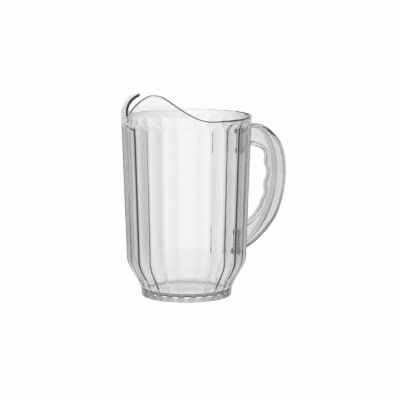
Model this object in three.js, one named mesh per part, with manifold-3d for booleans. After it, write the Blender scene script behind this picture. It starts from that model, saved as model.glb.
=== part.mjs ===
// A clear fluted pitcher: a thin vessel with a hooded pouring lip, and an I-section handle let into its wall.
// Millimetres, +Z up. The pitcher stands on z = 0, its spout points to -X and its handle to +X.
import * as THREE from 'three';
import Module from 'manifold-3d';

// Vessel
const rimRadius = 66.6;
const rimHeight = 185;
const shoulderRadius = 61.6;
const shoulderHeight = 40;
const footRadius = 46.4;
const footRingHeight = 4;
const footRingWidth = 5;
const footEdge = 0.8;
const recessDepth = 4.5;
const recessSlope = 2;
const floorHeight = 8.5;
const floorCorner = 5;
const wall = 3;
const rimRound = 0.9;

// Flutes, cut alike into both faces of the wall
const fluteCount = 24;
const fluteDepth = 1.2;
const fluteTopGap = 4.5;
const fluteArch = 7;
const fluteToe = 5;

// Hooded ears on both sides of the spout, in degrees round from it
const hoodStart = 0.4;
const hoodRadius = 24.5;
const earRise = 33.8;
const earPeak = 9.3;
const earEnd = 75;
const earTipRound = 1.5;
const slotRise = 3.2;
const slotSlope = 3.14;
const slotRound = 1;

// Pouring lip between the ears
const lipReach = 9;
const lipDrop = 13;
const lipSpread = 15;

// Handle, as a curve from the upper root to the lower one
const upperRootHeight = 167.1;
const lowerRootHeight = 35.6;
const upperPullOut = 79.2;
const upperPullHeight = 196.8;
const lowerPullOut = 88.1;
const lowerPullHeight = 49.5;

// I-section of the handle, slim and deep at the roots, broad and shallow in the palm
const rootDepth = 23.6;
const palmDepth = 17.6;
const rootFlangeWidth = 11.9;
const palmFlangeWidth = 23.5;
const palmTop = 146;
const palmBottom = 76;
const outerFlangeThickness = 3.9;
const innerFlangeWidth = 7.6;
const innerFlangeThickness = 4;
const webThickness = 2.6;
const fingerDepth = 1.4;
const fingerPitch = 27;
const fingerTop = 130;
const gripTop = 150;
const gripBottom = 75;
const gripFade = 12;

// Joint between the handle and the wall
const seatDepth = 0.8;
const seatClearance = 0.3;
const rootOverrun = 14;

// Fineness of the facets
const columnsPerFlute = 4;
const handleSteps = 56;
const flangeSides = 12;
const coreRings = 40;
const toeRows = 3;
const shoulderRows = 6;
const archRows = 4;
const hoodRows = 6;

const degree = Math.PI / 180;
const { clamp, lerp, smoothstep } = THREE.MathUtils;
const wasm = await Module();
wasm.setup();

// Evenly spaced values from start to end, both included
function spaced(start, end, count) {
  return Array.from({ length: count }, (_, i) => lerp(start, end, i / (count - 1)));
}

// Angles of the columns of facets, in degrees round from the spout
const columns = spaced(-180, 180, fluteCount * columnsPerFlute + 1).slice(0, -1);

// Outside of the ridges at a height: a drafted cone that draws in over the shoulder to the foot ring
function bodyRadius(height) {
  const climb = (Math.min(height, rimHeight) - shoulderHeight) / (rimHeight - shoulderHeight);
  const cone = lerp(shoulderRadius, rimRadius, climb);
  return lerp(footRadius, cone, smoothstep(height, footRingHeight, shoulderHeight));
}

// Depth of the flutes: a shallow groove that lifts out in an arch below the rim and in a toe above the foot.
// Ridges run down the middle of the spout and of the handle.
function fluteCut(angle, height) {
  const turn = (angle * fluteCount) / 360;
  const across = 2 * (turn - Math.floor(turn)) - 1;
  const arch = clamp((height - rimHeight + fluteTopGap) / fluteArch + 1, 0, 1);
  const toe = clamp(1 - (height - footRingHeight) / fluteToe, 0, 1);
  return fluteDepth * Math.max(0, 1 - across ** 2 - arch ** 2 - toe ** 2);
}

// Where the edge of the wall lies, measured along the wall up from the rim line
function rimEdge(angle) {
  const away = Math.abs(angle);
  const fall = clamp((away - earPeak) / (earEnd - earPeak), 0, 1);
  const ear = (earRise * (1 + Math.cos(Math.PI * fall))) / 2;
  const slot = slotRise + slotSlope * (Math.hypot(away, slotRound) - slotRound);
  return -earTipRound * Math.log(Math.exp(-ear / earTipRound) + Math.exp(-slot / earTipRound));
}

// How far the pouring lip swells out of the wall
function lipBulge(angle, rise) {
  return lipReach * Math.exp(-((angle / lipSpread) ** 2)) * smoothstep(rise, -lipDrop, 0);
}

// A point of the wall: its angle from the spout, its rise along the wall from the rim line, its depth inside
function wallPoint(angle, rise, depth) {
  const height = rimHeight + Math.min(rise, hoodStart);
  const curl = Math.max(0, rise - hoodStart) / hoodRadius;
  const straight = bodyRadius(height) + lipBulge(angle, rise) - fluteCut(angle, height) - depth;
  const radius = straight - (hoodRadius - depth) * (1 - Math.cos(curl));
  return roundAxis(angle, radius, height + (hoodRadius - depth) * Math.sin(curl));
}

function roundAxis(angle, radius, height) {
  const bearing = angle * degree;
  return new THREE.Vector3(-radius * Math.cos(bearing), -radius * Math.sin(bearing), height);
}

function onAxis(height) {
  return new THREE.Vector3(0, 0, height);
}

function plainRing(radius, height) {
  return columns.map((angle) => roundAxis(angle, radius, height));
}

// A closed skin through rings with equal numbers of points, closed by a fan to a point at each end
function loft(rings, startPoint, endPoint) {
  const count = rings[0].length;
  const points = [startPoint, ...rings.flat(), endPoint];
  const last = points.length - 1;
  const faces = [];
  for (let i = 0; i < count; i += 1) {
    const next = (i + 1) % count;
    faces.push(0, 1 + next, 1 + i);
    for (let ring = 0; ring < rings.length - 1; ring += 1) {
      const low = 1 + ring * count;
      const high = low + count;
      faces.push(low + i, low + next, high + next, low + i, high + next, high + i);
    }
    faces.push(last - count + i, last - count + next, last);
  }
  const geometry = new THREE.BufferGeometry().setFromPoints(points);
  geometry.setIndex(faces);
  return geometry;
}

function toSolid(geometry) {
  const vertProperties = new Float32Array(geometry.attributes.position.array);
  const triVerts = new Uint32Array(geometry.index.array);
  return new wasm.Manifold(new wasm.Mesh({ numProp: 3, vertProperties, triVerts }));
}

function toGeometry(solid) {
  const { vertProperties, triVerts } = solid.getMesh();
  const geometry = new THREE.BufferGeometry();
  geometry.setAttribute('position', new THREE.BufferAttribute(vertProperties, 3));
  geometry.setIndex(new THREE.BufferAttribute(triVerts, 1));
  geometry.computeVertexNormals();
  return geometry;
}

// The vessel's skin: under the foot, up the outside, over the edge, down the inside and across the floor
function vesselShell() {
  const archTop = rimHeight - fluteTopGap;
  const archBase = archTop - fluteArch;
  const bowlTop = floorHeight + floorCorner;
  const wallRing = (height, depth) => columns.map((angle) => wallPoint(angle, height - rimHeight, depth));
  const hoodRing = (share, depth) =>
    columns.map((angle) => wallPoint(angle, lerp(-fluteTopGap, rimEdge(angle) - rimRound, share), depth));
  const edgeRing = (depth) => columns.map((angle) => wallPoint(angle, rimEdge(angle), depth));
  const cornerRing = (swing) =>
    columns.map((angle) => {
      const top = wallPoint(angle, bowlTop - rimHeight, wall);
      const radius = Math.hypot(top.x, top.y) - floorCorner * (1 - Math.cos(swing));
      return roundAxis(angle, radius, bowlTop - floorCorner * Math.sin(swing));
    });

  const outside = [
    ...spaced(footRingHeight, footRingHeight + fluteToe, toeRows),
    ...spaced(footRingHeight + fluteToe, shoulderHeight, shoulderRows).slice(1),
    ...spaced(archBase, archTop, archRows).slice(0, -1),
  ];
  const inside = [
    ...spaced(archBase, archTop, archRows).slice(0, -1).reverse(),
    ...spaced(bowlTop, shoulderHeight, shoulderRows).slice(1).reverse(),
  ];
  const hoodShares = spaced(0, 1, hoodRows);
  const rings = [
    plainRing(footRadius - footRingWidth - recessSlope, recessDepth),
    plainRing(footRadius - footRingWidth, 0),
    plainRing(footRadius - footEdge, 0),
    plainRing(footRadius, footEdge),
    ...outside.map((height) => wallRing(height, 0)),
    ...hoodShares.map((share) => hoodRing(share, 0)),
    edgeRing(rimRound),
    edgeRing(wall - rimRound),
    ...hoodShares.toReversed().map((share) => hoodRing(share, wall)),
    ...inside.map((height) => wallRing(height, wall)),
    cornerRing(0),
    cornerRing(45 * degree),
    cornerRing(90 * degree),
  ];
  return toSolid(loft(rings, onAxis(recessDepth), onAxis(floorHeight)));
}

// What lies behind the bottom of the handle's seats: a round core under the flutes
function seatCore(depth) {
  const rings = spaced(footRingHeight, rimHeight, coreRings).map((height) =>
    plainRing(bodyRadius(height) - fluteDepth - depth, height));
  return toSolid(loft(rings, onAxis(footRingHeight), onAxis(rimHeight)));
}

// Stations along the handle's outer face, each with the direction in towards the fingers
function handleStations() {
  const curve = new THREE.CubicBezierCurve3(
    new THREE.Vector3(bodyRadius(upperRootHeight), 0, upperRootHeight),
    new THREE.Vector3(rimRadius + upperPullOut, 0, upperPullHeight),
    new THREE.Vector3(shoulderRadius + lowerPullOut, 0, lowerPullHeight),
    new THREE.Vector3(bodyRadius(lowerRootHeight), 0, lowerRootHeight),
  );
  const station = (share, overrun) => {
    const along = curve.getTangent(share);
    const point = curve.getPoint(share).addScaledVector(along, overrun);
    return { point, inward: new THREE.Vector3(along.z, 0, -along.x) };
  };
  const between = spaced(0, 1, handleSteps + 1).map((share) => station(share, 0));
  return [station(0, -rootOverrun), ...between, station(1, rootOverrun)];
}

// How far the section has turned from the slim form at the roots to the broad one in the palm
function palmShare(height) {
  return smoothstep(height, lowerRootHeight, palmBottom) * (1 - smoothstep(height, palmTop, upperRootHeight));
}

function flangeWidth(height) {
  return lerp(rootFlangeWidth, palmFlangeWidth, palmShare(height));
}

// Depth of the I-section, with waves for the fingers on its inner flange
function gripDepth(height) {
  const fadeIn = smoothstep(height, gripBottom, gripBottom + gripFade);
  const fadeOut = smoothstep(height, gripTop - gripFade, gripTop);
  const wave = Math.cos((2 * Math.PI * (height - fingerTop)) / fingerPitch);
  return lerp(rootDepth, palmDepth, palmShare(height)) + fingerDepth * fadeIn * (1 - fadeOut) * wave;
}

// A bar along the handle: the section at a height gives points as a depth in from the outer face and a place across
function handleBar(stations, section) {
  const across = new THREE.Vector3(0, 1, 0);
  const rings = stations.map(({ point, inward }) =>
    section(point.z).map(([depth, side]) =>
      point.clone().addScaledVector(inward, depth).addScaledVector(across, side)));
  const middle = (ring) =>
    ring.reduce((sum, at) => sum.add(at), new THREE.Vector3()).divideScalar(ring.length);
  return toSolid(loft(rings, middle(rings[0]), middle(rings.at(-1))));
}

// A flange with round edges, from one depth to another
function flangeSection(near, far, width) {
  const round = (far - near) / 2;
  return Array.from({ length: flangeSides }, (_, i) => {
    const turn = ((i + 0.5) * 2 * Math.PI) / flangeSides;
    const side = Math.sign(Math.sin(turn)) * (width / 2 - round) + round * Math.sin(turn);
    return [near + round + round * Math.cos(turn), side];
  });
}

function webSection(near, far, width) {
  return [[near, -width / 2], [far, -width / 2], [far, width / 2], [near, width / 2]];
}

// Outer flange, inner flange and web as one bar, grown by a clearance where it stands for its own seat
function handleSolid(stations, grow) {
  const outer = handleBar(stations, (height) =>
    flangeSection(-grow, outerFlangeThickness + grow, flangeWidth(height) + 2 * grow));
  const inner = handleBar(stations, (height) => {
    const depth = gripDepth(height);
    return flangeSection(depth - innerFlangeThickness - grow, depth + grow, innerFlangeWidth + 2 * grow);
  });
  const web = handleBar(stations, (height) => {
    const far = gripDepth(height) - innerFlangeThickness / 2;
    return webSection(outerFlangeThickness / 2, far, webThickness + 2 * grow);
  });
  return outer.add(inner).add(web).subtract(seatCore(seatDepth + grow));
}

function clearPlastic() {
  return new THREE.MeshStandardMaterial({
    color: 0xe4e7e8,
    roughness: 0.06,
    metalness: 0,
    transparent: true,
    opacity: 0.4,
  });
}

function piece(name, solid) {
  const mesh = new THREE.Mesh(toGeometry(solid), clearPlastic());
  mesh.name = name;
  return mesh;
}

const stations = handleStations();
const handleReach = Math.max(...stations.map(({ point }) => point.x));
const spoutReach = rimRadius + lipReach;

const pitcher = new THREE.Group();
pitcher.name = 'pitcher';
pitcher.position.x = (spoutReach - handleReach) / 2;
pitcher.add(piece('vessel', vesselShell().subtract(handleSolid(stations, seatClearance))));
pitcher.add(piece('handle', handleSolid(stations, 0)));

export default pitcher;
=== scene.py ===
"""A clear moulded pitcher, dressed round its solids: one fine skin for the vessel and one for the handle."""

import math
from collections import namedtuple

import bpy
import numpy as np
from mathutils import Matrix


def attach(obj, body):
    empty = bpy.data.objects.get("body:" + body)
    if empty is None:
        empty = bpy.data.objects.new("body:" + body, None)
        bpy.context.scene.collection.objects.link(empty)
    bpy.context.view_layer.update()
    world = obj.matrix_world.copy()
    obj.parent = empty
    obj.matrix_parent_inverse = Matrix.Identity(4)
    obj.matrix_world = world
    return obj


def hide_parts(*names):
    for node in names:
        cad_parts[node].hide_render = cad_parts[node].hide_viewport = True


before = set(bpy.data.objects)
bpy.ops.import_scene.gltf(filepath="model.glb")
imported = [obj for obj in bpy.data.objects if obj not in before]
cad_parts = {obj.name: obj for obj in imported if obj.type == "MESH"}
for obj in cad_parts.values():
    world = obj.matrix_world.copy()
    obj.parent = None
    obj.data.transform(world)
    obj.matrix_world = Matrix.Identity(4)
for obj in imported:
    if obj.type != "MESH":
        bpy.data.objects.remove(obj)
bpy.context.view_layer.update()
scene = bpy.context.scene

# Vessel, in millimetres as in the solids, round an upright axis
MM = 0.001
AXIS_X = -25.532
RIM_RADIUS = 66.6
RIM_HEIGHT = 185
SHOULDER_RADIUS = 61.6
SHOULDER_HEIGHT = 40
FOOT_RADIUS = 46.4
FOOT_RING_HEIGHT = 4
FOOT_RING_WIDTH = 5
FOOT_EDGE = 0.8
RECESS_DEPTH = 4.5
RECESS_SLOPE = 2
FLOOR_HEIGHT = 8.5
FLOOR_CORNER = 5
WALL = 3
RIM_ROUND = 0.4
RIM_INNER_ROUND = 2.2

# Flutes
FLUTE_COUNT = 24
FLUTE_DEPTH = 1.2
FLUTE_TOP_GAP = 4.5
FLUTE_ARCH = 7
FLUTE_TOE = 5
RIDGE_ROUND = 0.2

# Hood with two ears and the slot between them: places round the axis are degrees from the spout
HOOD_START = 0.4
HOOD_RADIUS = 24.5
EAR_RISE = 33.8
EAR_PEAK = 9.3
EAR_END = 75
EAR_TIP_ROUND = 1.5
SLOT_RISE = 3.2
SLOT_SLOPE = 3.14
SLOT_ROUND = 1

# Pouring lip, with its spread in degrees
LIP_REACH = 9
LIP_DROP = 13
LIP_SPREAD = 15

# Path of the handle's outer face: its two roots and the two points that pull the curve out
UPPER_ROOT_HEIGHT = 167.1
LOWER_ROOT_HEIGHT = 35.6
UPPER_PULL_OUT = 79.2
UPPER_PULL_HEIGHT = 196.8
LOWER_PULL_OUT = 88.1
LOWER_PULL_HEIGHT = 49.5

# Section of the handle
ROOT_DEPTH = 23.6
PALM_DEPTH = 17.6
ROOT_FLANGE_WIDTH = 11.9
PALM_FLANGE_WIDTH = 23.5
PALM_TOP = 146
PALM_BOTTOM = 76
OUTER_FLANGE_THICKNESS = 3.9
INNER_FLANGE_WIDTH = 7.6
INNER_FLANGE_THICKNESS = 4
WEB_THICKNESS = 2.6
WEB_FILLET = 1
PALM_FILLET = 3
FINGER_DEPTH = 1.4
FINGER_PITCH = 27
FINGER_TOP = 130
GRIP_TOP = 150
GRIP_BOTTOM = 75
GRIP_FADE = 12
ROOT_FILLET = 1.2
ROOT_GAP = 0.03

# Heights worked out from the sizes above
TOE_TOP = FOOT_RING_HEIGHT + FLUTE_TOE
ARCH_TOP = RIM_HEIGHT - FLUTE_TOP_GAP
ARCH_BASE = ARCH_TOP - FLUTE_ARCH
BOWL_TOP = FLOOR_HEIGHT + FLOOR_CORNER

# Fineness of the vessel's skin: columns, rings on each stretch and steps round each corner
COLUMNS_PER_FLUTE = 20
RIDGE_CROWDING = 0.7
DISC_RINGS = 4
DISC_CENTRE = 0.25
RECESS_STEPS = 5
FOOT_STEPS = 6
TOE_RINGS = 11
SHOULDER_RINGS = 26
BODY_RINGS = 16
ARCH_RINGS = 13
HOOD_RINGS = 30
RIM_STEPS = 8
FLOOR_STEPS = 10

# Fineness of the handle's skin
HANDLE_RINGS = 170
END_CROWDING = 0.9
FLAT_STEPS = 5
ROUND_STEPS = 16
FILLET_STEPS = 6

# Shares of the handle's path that are surely outside and inside the wall, between which each root is found
UPPER_ROOT_SEARCH = (0.2, -0.15)
LOWER_ROOT_SEARCH = (0.8, 1.1)
SEARCH_STEPS = 40

# The skins are a hair smaller than the solids, which are cut from plain chords
SKIN_FIT = 0.999

# Camera round the vessel's axis: distances in metres, angles in degrees, lens in millimetres
CAMERA_BEARING = -38.5
CAMERA_DISTANCE = 1.8
CAMERA_HEIGHT = 0.3742
CAMERA_PITCH = 8.736
CAMERA_YAW = 0.4445
CAMERA_LENS = 160.08

# Plastic: each pair of tints and of roughnesses is for clear and for hazy places
PLASTIC_IOR = 1.585
VESSEL_TINT = ((1, 1, 1, 1), (0.996, 0.998, 1, 1))
HANDLE_TINT = ((0.96, 0.96, 0.96, 1), (0.93, 0.93, 0.935, 1))
VESSEL_ROUGHNESS = (0.0, 0.03)
HANDLE_ROUGHNESS = (0.18, 0.24)
ABSORPTION_COLOUR = (0.5, 0.505, 0.51, 1)
ABSORPTION_DENSITY = 22
EDGE_BLEND = 0.5
# Painted shade: the colour that upright faces of the plastic darken to when seen at a slant
SLANT_PAINTED_SHADE = (0.1, 0.1, 0.1, 1)
HAZE_SCALE = 45
HAZE_DETAIL = 3

# Studio: the floor's reach is in metres, and heights in the sky are sines of the angle above the horizon
FLOOR_REACH = 40
FLOOR_COLOUR = (0.95, 0.95, 0.95, 1)
FLOOR_WHITE_SHARE = 0.97
HORIZON_LOW = 0.05
HORIZON_HIGH = 0.35
HORIZON_LIGHT = 1.0
ROOM_LIGHT = 0.35
SOFTBOX_LIGHT = 1.0
SOFTBOX_EDGE = 0.85
SOFTBOX_SOFT = 0.06

# A point of the handle's outline: the face that it is measured from (0 outer, 1 inner), its depth under that
# face, its side, its share of the palm's broadening, and its direction out of the plastic
OutlinePoint = namedtuple("OutlinePoint", "face depth side broadens normal_side normal_depth")


def smoothstep(value, low, high):
    share = np.clip((value - low) / (high - low), 0, 1)
    return share * share * (3 - 2 * share)


# Angles of a quarter turn, for round corners
def quarter_turn(steps):
    return np.linspace(0, np.pi / 2, steps)


# Radius of the ridges at a height
def body_radius(height):
    climb = (np.minimum(height, RIM_HEIGHT) - SHOULDER_HEIGHT) / (RIM_HEIGHT - SHOULDER_HEIGHT)
    cone = SHOULDER_RADIUS + (RIM_RADIUS - SHOULDER_RADIUS) * climb
    return FOOT_RADIUS + (cone - FOOT_RADIUS) * smoothstep(height, FOOT_RING_HEIGHT, SHOULDER_HEIGHT)


# Depth of the flutes, with softly rounded ridges between them
def flute_cut(angle, height):
    turn = angle * FLUTE_COUNT / 360
    across = 2 * (turn - np.floor(turn)) - 1
    arch = np.clip((height - RIM_HEIGHT + FLUTE_TOP_GAP) / FLUTE_ARCH + 1, 0, 1)
    toe = np.clip(1 - (height - FOOT_RING_HEIGHT) / FLUTE_TOE, 0, 1)
    groove = np.maximum(0, 1 - across**2 - arch**2 - toe**2)
    share = (np.hypot(groove, RIDGE_ROUND) - RIDGE_ROUND) / (math.hypot(1, RIDGE_ROUND) - RIDGE_ROUND)
    return FLUTE_DEPTH * share


# Where the edge of the wall lies, measured along the wall up from the rim line
def rim_edge(angle):
    away = np.abs(angle)
    fall = np.clip((away - EAR_PEAK) / (EAR_END - EAR_PEAK), 0, 1)
    ear = EAR_RISE * (1 + np.cos(np.pi * fall)) / 2
    slot = SLOT_RISE + SLOT_SLOPE * (np.hypot(away, SLOT_ROUND) - SLOT_ROUND)
    return -EAR_TIP_ROUND * np.log(np.exp(-ear / EAR_TIP_ROUND) + np.exp(-slot / EAR_TIP_ROUND))


def lip_bulge(angle, rise):
    return LIP_REACH * np.exp(-((angle / LIP_SPREAD) ** 2)) * smoothstep(rise, -LIP_DROP, 0)


def round_axis(angle, radius, height):
    bearing = np.radians(angle)
    x, y, z = np.broadcast_arrays(-radius * np.cos(bearing), -radius * np.sin(bearing), height)
    return np.stack([x, y, z], axis=-1)


# Points of the wall: angle from the spout, rise along the wall from the rim line, depth inside
def wall_points(angle, rise, depth):
    height = RIM_HEIGHT + np.minimum(rise, HOOD_START)
    curl = np.maximum(0, rise - HOOD_START) / HOOD_RADIUS
    straight = body_radius(height) + lip_bulge(angle, rise) - flute_cut(angle, height) - depth
    radius = straight - (HOOD_RADIUS - depth) * (1 - np.cos(curl))
    return round_axis(angle, radius, height + (HOOD_RADIUS - depth) * np.sin(curl))


# Angles of the columns, crowded towards the ridges
def column_angles():
    place = np.linspace(-1, 1, COLUMNS_PER_FLUTE, endpoint=False)
    across = (1 - RIDGE_CROWDING) * place + RIDGE_CROWDING * np.sin(place * np.pi / 2)
    flute = np.arange(FLUTE_COUNT)[:, None] - FLUTE_COUNT // 2
    return ((flute + 0.5 + across[None, :] / 2) * 360 / FLUTE_COUNT).ravel()


def level_ring(columns, radius, height):
    return round_axis(columns, radius, np.full_like(columns, height))


def wall_ring(columns, height, depth):
    return wall_points(columns, np.full_like(columns, height - RIM_HEIGHT), depth)


# The underside, from the middle of the recess out to the side of the foot ring
def foot_rings(columns):
    ring_inside = FOOT_RADIUS - FOOT_RING_WIDTH
    recess_radius = ring_inside - RECESS_SLOPE
    rings = []
    for share in np.linspace(DISC_CENTRE, 1, DISC_RINGS):
        rings.append(level_ring(columns, (recess_radius - FOOT_EDGE) * share, RECESS_DEPTH))
    for turn in quarter_turn(RECESS_STEPS)[1:]:
        radius = recess_radius - FOOT_EDGE * (1 - math.sin(turn))
        rings.append(level_ring(columns, radius, RECESS_DEPTH - FOOT_EDGE * (1 - math.cos(turn))))
    for turn in quarter_turn(RECESS_STEPS):
        radius = ring_inside + FOOT_EDGE * (1 - math.cos(turn))
        rings.append(level_ring(columns, radius, FOOT_EDGE * (1 - math.sin(turn))))
    for turn in quarter_turn(FOOT_STEPS):
        radius = FOOT_RADIUS - FOOT_EDGE * (1 - math.sin(turn))
        rings.append(level_ring(columns, radius, FOOT_EDGE * (1 - math.cos(turn))))
    return rings


# The outside of the wall, from the foot ring up to just under the tops of the flutes
def outer_rings(columns):
    heights = np.concatenate([
        np.linspace(FOOT_RING_HEIGHT, TOE_TOP, TOE_RINGS),
        np.linspace(TOE_TOP, SHOULDER_HEIGHT, SHOULDER_RINGS)[1:],
        np.linspace(SHOULDER_HEIGHT, ARCH_BASE, BODY_RINGS)[1:],
        np.linspace(ARCH_BASE, ARCH_TOP, ARCH_RINGS)[1:-1],
    ])
    return [wall_ring(columns, height, 0) for height in heights]


# The wall from the tops of the flutes up to a line that follows its edge
def hood_rings(columns, top, depth):
    shares = np.linspace(0, 1, HOOD_RINGS)
    return [wall_points(columns, -FLUTE_TOP_GAP + (top + FLUTE_TOP_GAP) * share, depth) for share in shares]


# The edge of the wall, which is rounded less outside than inside
def rim_rings(columns, edge):
    turns = quarter_turn(RIM_STEPS)[1:]
    rings = []
    for turn in turns:
        rise = edge - RIM_ROUND * (1 - math.sin(turn))
        rings.append(wall_points(columns, rise, RIM_ROUND * (1 - math.cos(turn))))
    for turn in turns[::-1]:
        rise = edge - RIM_INNER_ROUND * (1 - math.sin(turn))
        rings.append(wall_points(columns, rise, WALL - RIM_INNER_ROUND * (1 - math.cos(turn))))
    return rings


# The inside of the wall, from the tops of the flutes down to the round corner of the floor
def inner_rings(columns):
    heights = np.concatenate([
        np.linspace(ARCH_TOP, ARCH_BASE, ARCH_RINGS)[1:],
        np.linspace(ARCH_BASE, SHOULDER_HEIGHT, BODY_RINGS)[1:],
        np.linspace(SHOULDER_HEIGHT, BOWL_TOP, SHOULDER_RINGS)[1:],
    ])
    return [wall_ring(columns, height, WALL) for height in heights]


# The inside of the floor, from its round corner to its middle
def floor_rings(columns):
    corner_top = wall_ring(columns, BOWL_TOP, WALL)
    bowl_radius = np.hypot(corner_top[:, 0], corner_top[:, 1])
    rings = []
    for turn in quarter_turn(FLOOR_STEPS)[1:]:
        radius = bowl_radius - FLOOR_CORNER * (1 - math.cos(turn))
        rings.append(level_ring(columns, radius, BOWL_TOP - FLOOR_CORNER * math.sin(turn)))
    for share in np.linspace(1, DISC_CENTRE, DISC_RINGS)[1:]:
        rings.append(level_ring(columns, (bowl_radius - FLOOR_CORNER) * share, FLOOR_HEIGHT))
    return rings


def vessel_rings():
    columns = column_angles()
    edge = rim_edge(columns)
    rings = foot_rings(columns)
    rings += outer_rings(columns)
    rings += hood_rings(columns, edge - RIM_ROUND, 0)
    rings += rim_rings(columns, edge)
    rings += hood_rings(columns, edge - RIM_INNER_ROUND, WALL)[::-1]
    rings += inner_rings(columns)
    rings += floor_rings(columns)
    return rings


# The handle's outer face at shares of its path: points as radius and height, directions and speeds
def handle_path(share):
    first = np.array([body_radius(UPPER_ROOT_HEIGHT), UPPER_ROOT_HEIGHT])
    second = np.array([RIM_RADIUS + UPPER_PULL_OUT, UPPER_PULL_HEIGHT])
    third = np.array([SHOULDER_RADIUS + LOWER_PULL_OUT, LOWER_PULL_HEIGHT])
    fourth = np.array([body_radius(LOWER_ROOT_HEIGHT), LOWER_ROOT_HEIGHT])
    done = np.asarray(share)[:, None]
    left = 1 - done
    point = left**3 * first + 3 * done * left**2 * second + 3 * done**2 * left * third + done**3 * fourth
    along = left**2 * (second - first) + 2 * done * left * (third - second) + done**2 * (fourth - third)
    speed = np.linalg.norm(along, axis=1, keepdims=True)
    return point, along / speed, 3 * speed[:, 0]


# How far the section has turned from the slim form at the roots to the broad one in the palm
def palm_share(height):
    above_lower_root = smoothstep(height, LOWER_ROOT_HEIGHT, PALM_BOTTOM)
    near_upper_root = smoothstep(height, PALM_TOP, UPPER_ROOT_HEIGHT)
    return above_lower_root * (1 - near_upper_root)


# Depth of the whole section, with the finger waves
def grip_depth(height):
    fade_in = smoothstep(height, GRIP_BOTTOM, GRIP_BOTTOM + GRIP_FADE)
    fade_out = smoothstep(height, GRIP_TOP - GRIP_FADE, GRIP_TOP)
    wave = np.cos(2 * np.pi * (height - FINGER_TOP) / FINGER_PITCH)
    plain = ROOT_DEPTH + (PALM_DEPTH - ROOT_DEPTH) * palm_share(height)
    return plain + FINGER_DEPTH * fade_in * (1 - fade_out) * wave


# Half of a flange, from the middle of its face round its edge and along its back to the fillet at the web
def half_flange(face, thickness, width, fillet, broadens):
    edge = thickness / 2
    reach = width / 2 - edge
    half_web = WEB_THICKNESS / 2
    knee = min(half_web + fillet, reach)
    has_back = knee < reach
    flat = np.linspace(0, 1, FLAT_STEPS)[:-1]
    points = []
    for share in flat:
        points.append(OutlinePoint(face, 0, reach * share, broadens * share, 0, -1))
    for turn in np.linspace(-np.pi / 2, np.pi / 2, ROUND_STEPS):
        out = math.cos(turn)
        down = math.sin(turn)
        points.append(OutlinePoint(face, edge + edge * down, reach + edge * out, broadens, out, down))
    if has_back:
        for share in flat[1:]:
            side = reach + (knee - reach) * share
            points.append(OutlinePoint(face, thickness, side, broadens * (1 - share), 0, 1))
    for turn in quarter_turn(FILLET_STEPS):
        if has_back or turn > 0:
            out = math.sin(turn)
            down = math.cos(turn)
            depth = thickness + fillet * (1 - down)
            points.append(OutlinePoint(face, depth, knee - (knee - half_web) * out, 0, out, down))
    return points


# Outline of the I-section, as arrays of the values of its points
def handle_outline():
    outer = half_flange(0, OUTER_FLANGE_THICKNESS, ROOT_FLANGE_WIDTH, WEB_FILLET, 1)
    inner = half_flange(1, INNER_FLANGE_THICKNESS, INNER_FLANGE_WIDTH, PALM_FILLET, 0)
    half = outer + inner[::-1]
    mirrored = []
    for point in half[::-1]:
        if point.side > 0:
            mirrored.append(point._replace(side=-point.side, broadens=-point.broadens,
                                           normal_side=-point.normal_side))
    return OutlinePoint(*np.array(half + mirrored).T)


# The outline's points, each at its own share of the path and flared out of the plastic by a distance
def outline_points(outline, share, flare):
    point, along, _ = handle_path(share)
    height = point[:, 1]
    from_inner = outline.face > 0
    sunk = np.where(from_inner, grip_depth(height) - outline.depth, outline.depth)
    lean = np.where(from_inner, -outline.normal_depth, outline.normal_depth)
    inset = sunk + flare * lean
    spread = (PALM_FLANGE_WIDTH - ROOT_FLANGE_WIDTH) / 2 * palm_share(height)
    x = point[:, 0] + along[:, 1] * inset
    y = outline.side + outline.broadens * spread + flare * outline.normal_side
    z = height - along[:, 0] * inset
    return np.stack([x, y, z], axis=-1)


# How far points of the handle stand off the wall, less the gap that is left there
def stand_off(points):
    height = points[:, 2]
    angle = np.degrees(np.arctan2(-points[:, 1], -points[:, 0]))
    wall = body_radius(height) - flute_cut(angle, height)
    return np.hypot(points[:, 0], points[:, 1]) - wall - ROOT_GAP


# Shares of the path at which the outline's points reach the wall, found by halving
def meet_wall(outline, search):
    outside, inside = (np.full_like(outline.depth, share) for share in search)
    for _ in range(SEARCH_STEPS):
        middle = (outside + inside) / 2
        clear = stand_off(outline_points(outline, middle, ROOT_FILLET)) > 0
        outside = np.where(clear, middle, outside)
        inside = np.where(clear, inside, middle)
    return outside


# Rings from the lower root to the upper one, crowded towards both and flared there by a fillet
def handle_rings():
    outline = handle_outline()
    start = meet_wall(outline, UPPER_ROOT_SEARCH)
    end = meet_wall(outline, LOWER_ROOT_SEARCH)
    even = np.linspace(0, 1, HANDLE_RINGS)
    crowded = (1 - END_CROWDING) * even + END_CROWDING * smoothstep(even, 0, 1)
    rings = []
    for part in crowded[::-1]:
        share = start + (end - start) * part
        speed = handle_path(share)[2]
        root_distance = np.minimum(share - start, end - share) * speed
        near = 1 - np.clip(root_distance / ROOT_FILLET, 0, 1)
        rings.append(outline_points(outline, share, ROOT_FILLET * (1 - np.sqrt(1 - near**2))))
    return rings


# A closed skin through rings with equal numbers of points, with one face as a cap at each end
def skin(name, rings):
    count = len(rings[0])
    points = SKIN_FIT * (np.concatenate(rings) + [AXIS_X, 0, 0])
    caps = [range(count)[::-1], range(len(points) - count, len(points))]
    sides = []
    for low in range(0, len(points) - count, count):
        high = low + count
        for column in range(count):
            following = (column + 1) % count
            sides.append((low + column, low + following, high + following, high + column))
    mesh = bpy.data.meshes.new(name)
    mesh.from_pydata((points * MM).tolist(), [], caps + sides)
    mesh.polygons.foreach_set("use_smooth", [False] * len(caps) + [True] * len(sides))
    mesh.update()
    piece = bpy.data.objects.new(name, mesh)
    scene.collection.objects.link(piece)
    return piece


# The node tree of a material or world, emptied
def empty_tree(owner):
    owner.use_nodes = True
    owner.node_tree.nodes.clear()
    return owner.node_tree


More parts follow.
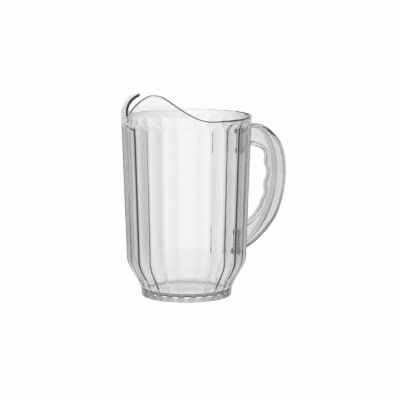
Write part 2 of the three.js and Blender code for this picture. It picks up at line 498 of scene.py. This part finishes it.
# A node with its sockets filled from values or from other nodes' sockets, by name or by place
def node(tree, kind, inputs, **settings):
    made = tree.nodes.new(kind)
    for name, value in settings.items():
        setattr(made, name, value)
    for name, value in inputs.items():
        if isinstance(value, bpy.types.NodeSocket):
            tree.links.new(value, made.inputs[name])
        else:
            made.inputs[name].default_value = value
    return made


def calculate(tree, operation, first, second=0.0, clamp=False):
    terms = {0: first, 1: second}
    return node(tree, "ShaderNodeMath", terms, operation=operation, use_clamp=clamp).outputs[0]


def blend(tree, value, low, high, at_low, at_high):
    ends = {"Value": value, "From Min": low, "From Max": high, "To Min": at_low, "To Max": at_high}
    return node(tree, "ShaderNodeMapRange", ends, interpolation_type="SMOOTHSTEP").outputs[0]


# The colour sockets of a mix node are given by place, because its other sockets have the same names
def mix_colours(tree, share, first, second):
    return node(tree, "ShaderNodeMix", {0: share, 6: first, 7: second}, data_type="RGBA").outputs[2]


# How much a face is seen at a slant, for upright faces only: where painted shade darkens the plastic
def upright_slant(tree):
    slant = node(tree, "ShaderNodeLayerWeight", {"Blend": EDGE_BLEND}).outputs["Facing"]
    normal = node(tree, "ShaderNodeNewGeometry", {}).outputs["Normal"]
    level = calculate(tree, "ABSOLUTE", node(tree, "ShaderNodeSeparateXYZ", {0: normal}).outputs["Z"])
    upright = calculate(tree, "SUBTRACT", 1.0, level)
    return calculate(tree, "MULTIPLY", slant, upright)


# Clear plastic, hazier in some places, that greys with depth, with painted shade that darkens upright faces
# seen at a slant
def clear_plastic(name, tints, roughness):
    material = bpy.data.materials.new(name)
    tree = empty_tree(material)
    place = node(tree, "ShaderNodeTexCoord", {}).outputs["Object"]
    haze = {"Vector": place, "Scale": HAZE_SCALE, "Detail": HAZE_DETAIL}
    cloud = node(tree, "ShaderNodeTexNoise", haze).outputs[0]
    # The haze tints, mixed towards painted shade on upright faces seen at a slant
    haze_tint_and_slant_shade = mix_colours(tree, upright_slant(tree), mix_colours(tree, cloud, *tints), SLANT_PAINTED_SHADE)
    surface = node(tree, "ShaderNodeBsdfPrincipled", {
        "Base Color": haze_tint_and_slant_shade,
        "Roughness": blend(tree, cloud, 0, 1, *roughness),
        "IOR": PLASTIC_IOR,
        "Transmission Weight": 1,
    })
    inside = {"Color": ABSORPTION_COLOUR, "Density": ABSORPTION_DENSITY}
    volume = node(tree, "ShaderNodeVolumeAbsorption", inside)
    node(tree, "ShaderNodeOutputMaterial", {"Surface": surface.outputs[0], "Volume": volume.outputs[0]})
    return material


# A pale floor that is white to the camera, in reflections and through the plastic, and keeps a faint shadow
def floor_material():
    material = bpy.data.materials.new("pale_floor")
    tree = empty_tree(material)
    path = node(tree, "ShaderNodeLightPath", {}).outputs
    direct = calculate(tree, "ADD", path["Is Camera Ray"], path["Is Glossy Ray"], clamp=True)
    seen = calculate(tree, "ADD", direct, path["Is Transmission Ray"], clamp=True)
    lit = calculate(tree, "MULTIPLY", seen, FLOOR_WHITE_SHARE)
    matt = node(tree, "ShaderNodeBsdfDiffuse", {"Color": FLOOR_COLOUR}).outputs[0]
    white = node(tree, "ShaderNodeEmission", {"Strength": 1}).outputs[0]
    floor = node(tree, "ShaderNodeMixShader", {0: lit, 1: matt, 2: white}).outputs[0]
    node(tree, "ShaderNodeOutputMaterial", {"Surface": floor})
    return material


# A white sweep at the horizon, a grey room above it and a broad soft light overhead
def studio_world():
    world = bpy.data.worlds.new("studio")
    tree = empty_tree(world)
    ray = node(tree, "ShaderNodeTexCoord", {}).outputs["Generated"]
    climb = node(tree, "ShaderNodeSeparateXYZ", {0: ray}).outputs["Z"]
    room = blend(tree, climb, HORIZON_LOW, HORIZON_HIGH, HORIZON_LIGHT, ROOM_LIGHT)
    light = blend(tree, climb, SOFTBOX_EDGE - SOFTBOX_SOFT, SOFTBOX_EDGE + SOFTBOX_SOFT, room, SOFTBOX_LIGHT)
    sky = node(tree, "ShaderNodeBackground", {"Color": light, "Strength": 1}).outputs[0]
    node(tree, "ShaderNodeOutputWorld", {"Surface": sky})
    return world


def add_piece(name, rings, solid, material):
    piece = skin(name, rings)
    piece.data.materials.append(material)
    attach(piece, "root")
    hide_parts(solid)


def add_floor():
    corners = [(-FLOOR_REACH, -FLOOR_REACH, 0), (FLOOR_REACH, -FLOOR_REACH, 0),
               (FLOOR_REACH, FLOOR_REACH, 0), (-FLOOR_REACH, FLOOR_REACH, 0)]
    mesh = bpy.data.meshes.new("floor")
    mesh.from_pydata(corners, [], [(0, 1, 2, 3)])
    mesh.materials.append(floor_material())
    floor = bpy.data.objects.new("floor", mesh)
    floor.location.x = AXIS_X * MM
    scene.collection.objects.link(floor)


def add_camera():
    bearing = math.radians(CAMERA_BEARING)
    camera = bpy.data.objects.new("camera", bpy.data.cameras.new("camera"))
    camera.data.lens = CAMERA_LENS
    camera.location.x = AXIS_X * MM + CAMERA_DISTANCE * math.sin(bearing)
    camera.location.y = -CAMERA_DISTANCE * math.cos(bearing)
    camera.location.z = CAMERA_HEIGHT
    camera.rotation_euler.x = math.radians(90 - CAMERA_PITCH)
    camera.rotation_euler.z = math.radians(CAMERA_BEARING - CAMERA_YAW)
    scene.collection.objects.link(camera)
    scene.camera = camera


vessel_plastic = clear_plastic("clear_vessel", VESSEL_TINT, VESSEL_ROUGHNESS)
handle_plastic = clear_plastic("clear_handle", HANDLE_TINT, HANDLE_ROUGHNESS)
add_piece("vessel_skin", vessel_rings(), "vessel", vessel_plastic)
add_piece("handle_skin", handle_rings(), "handle", handle_plastic)
add_floor()
add_camera()
scene.world = studio_world()
scene.view_settings.view_transform = "Standard"
